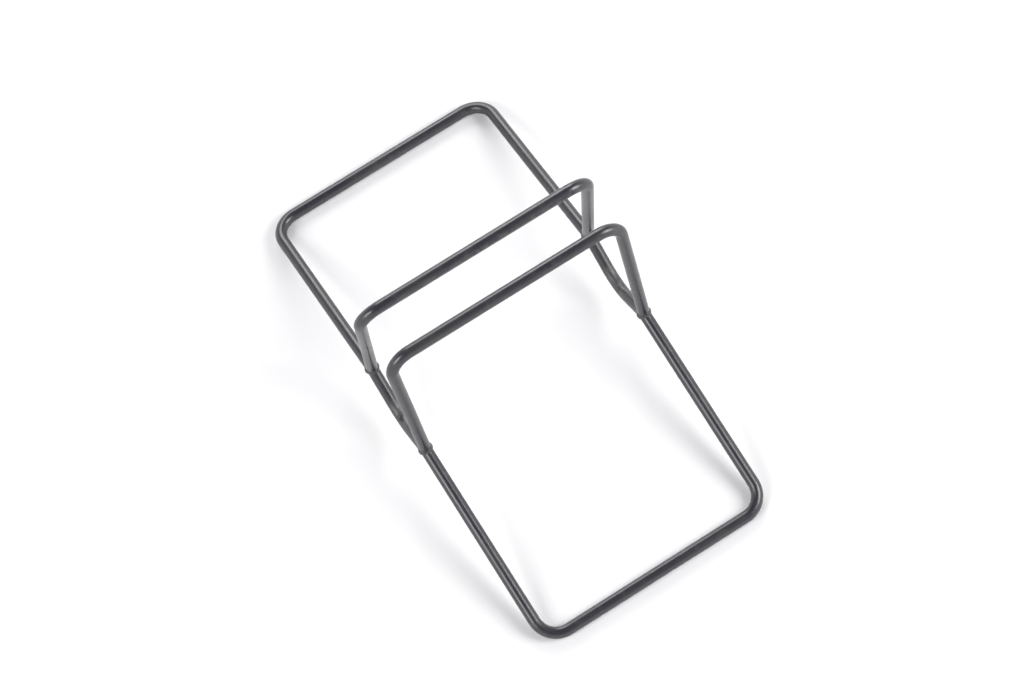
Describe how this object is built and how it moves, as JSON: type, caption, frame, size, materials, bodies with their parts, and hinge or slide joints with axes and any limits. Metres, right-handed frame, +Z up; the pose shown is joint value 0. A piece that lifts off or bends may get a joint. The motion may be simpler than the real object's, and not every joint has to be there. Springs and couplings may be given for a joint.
{
  "type": "bicycle floor stand",
  "caption": "Welded round-tube floor stand that cradles one bicycle wheel between two inverted-U uprights.",
  "frame": {"origin": "on the floor under the middle of the stand", "axes": "+X is the way the wheel rolls, +Y is to its left and lies across the stand's two halves, +Z is up"},
  "size_m": [0.264, 0.532, 0.241],
  "materials": {
    "tube_coat": "satin black powder coat with a faint blue-grey cast",
    "weld_coat": "satin black powder coat over rippled weld bead"
  },
  "bodies": {
    "root": {"right_base_tube": "tube_coat", "right_upright": "tube_coat", "left_base_tube": "tube_coat", "left_upright": "tube_coat", "rear_cradle_tube": "tube_coat", "rear_right_weld": "weld_coat", "rear_left_weld": "weld_coat", "front_cradle_tube": "tube_coat", "front_right_weld": "weld_coat", "front_left_weld": "weld_coat"}
  },
  "joints": []
}
